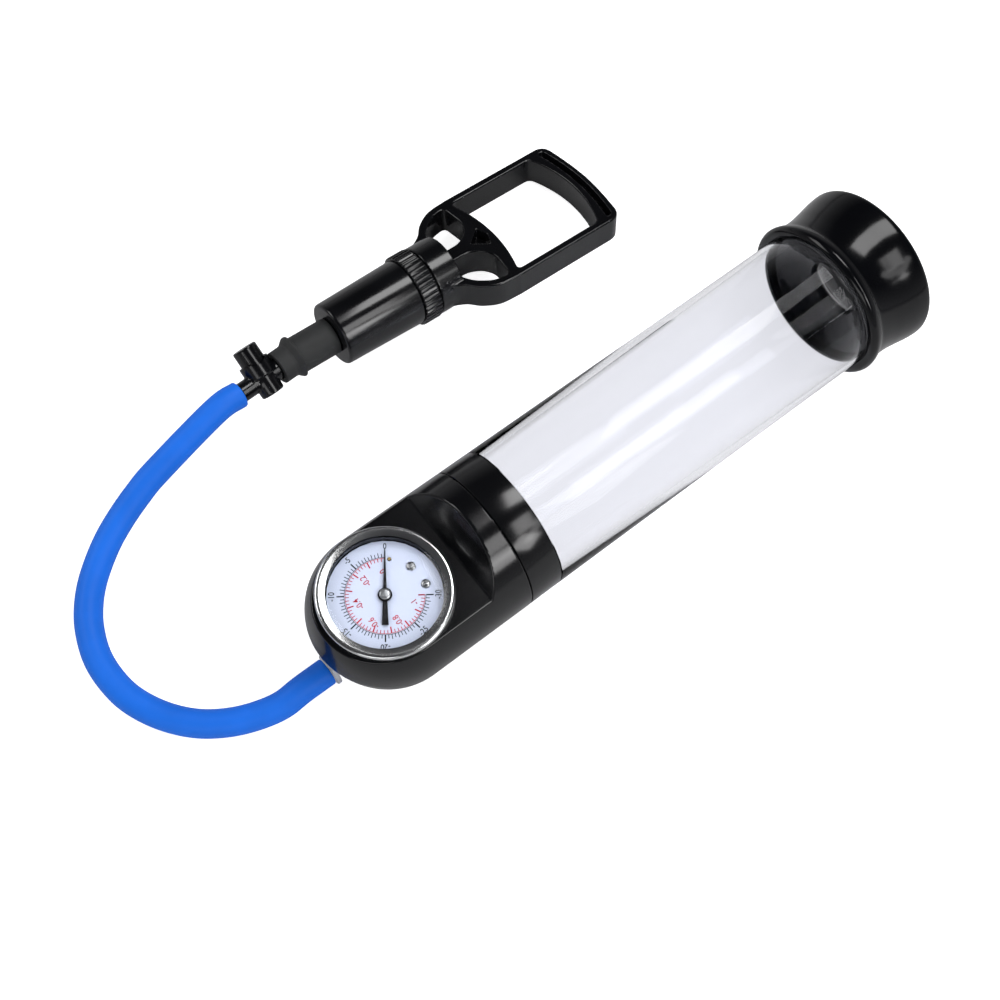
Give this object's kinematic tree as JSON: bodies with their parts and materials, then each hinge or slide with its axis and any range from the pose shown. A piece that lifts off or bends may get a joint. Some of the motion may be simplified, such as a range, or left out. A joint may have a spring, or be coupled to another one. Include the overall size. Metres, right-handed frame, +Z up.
{
  "type": "hand vacuum pump",
  "caption": "Clear cylinder with a gauge head and soft mouth sleeve, joined by a hose to a small hand piston pump with release valve.",
  "frame": {"origin": "on the surface below the middle of the box of everything but the hose", "axes": "+X along the clear cylinder towards its open sleeve, +Y towards the piston pump, +Z up"},
  "size_m": [0.3458, 0.1724, 0.069],
  "materials": {
    "acrylic": "clear polished acrylic",
    "gloss": "gloss black plastic",
    "sleeve": "gloss black soft rubber",
    "rubber": "matt black rubber",
    "chrome": "bright plated",
    "brass": "plain brass",
    "steel": "plain steel",
    "dial": "pale satin",
    "needle": "satin black",
    "hose": "matt blue"
  },
  "bodies": {
    "chamber_and_barrel": {"clear_cylinder": "acrylic", "collar_ring": "gloss", "cylinder_seal": "rubber", "gauge_head": "gloss", "head_nipple": "acrylic", "mouth_sleeve": "sleeve", "gauge_case": "gloss", "gauge_bezel": "chrome", "gauge_lens": "acrylic", "gauge_dial": "dial", "dial_screw_upper": "chrome", "dial_screw_lower": "chrome", "stop_pin": "brass", "hairspring": "brass", "bourdon_tube": "brass", "bourdon_tip": "brass", "gauge_socket": "brass", "movement_plate_lower": "brass", "movement_plate_upper": "brass", "movement_pillar_left": "brass", "movement_pillar_right": "brass", "valve_body": "gloss", "valve_spring": "steel", "rubber_adapter": "rubber", "pump_barrel": "gloss", "inlet_flap": "rubber", "knurled_cap": "gloss", "rod_bush": "dial", "hose": "hose"},
    "plunger": {"handle": "gloss", "piston_rod": "steel", "piston": "gloss", "piston_seal": "rubber", "outlet_flap": "rubber", "piston_screw": "steel"},
    "button": {"release_button": "gloss", "valve_seal": "rubber"},
    "sector": {"sector_gear": "brass"},
    "link": {"gauge_link": "brass"},
    "needle": {"pointer": "needle", "pointer_hub": "chrome", "pointer_arbor": "brass"}
  },
  "joints": [
    {"name": "plunger_slide", "type": "slide", "parent": "chamber_and_barrel", "child": "plunger", "axis": [0.9985, -0.0157, -0.0532], "range_m": [0, 0.022]},
    {"name": "button_press", "type": "slide", "parent": "chamber_and_barrel", "child": "button", "axis": [0.0263, -0.861, -0.5079], "range_m": [0, 0.0025], "stiffness_N_per_m": 400, "deforming": ["valve_spring"]},
    {"name": "sector_swing", "type": "hinge", "parent": "chamber_and_barrel", "child": "sector", "pos_m": [-0.1044, -0.06459, 0.03724], "axis": [-0.0167, 0, 0.9999], "range_deg": [-38.57, 0], "stiffness_Nm_per_rad": 0.002},
    {"name": "link_swing", "type": "hinge", "parent": "sector", "child": "link", "pos_m": [-0.10385, -0.06815, 0.03585], "axis": [-0.0167, 0, 0.9999], "range_deg": [0, 38.57]},
    {"name": "pointer_spin", "type": "hinge", "parent": "chamber_and_barrel", "child": "needle", "pos_m": [-0.10454, -0.05179, 0.04544], "axis": [-0.0167, 0, 0.9999], "range_deg": [0, 270]}
  ],
  "couplings": [
    {"joint": "pointer_spin", "follows": "sector_swing", "ratio": -7},
    {"joint": "link_swing", "follows": "sector_swing", "ratio": -1}
  ]
}
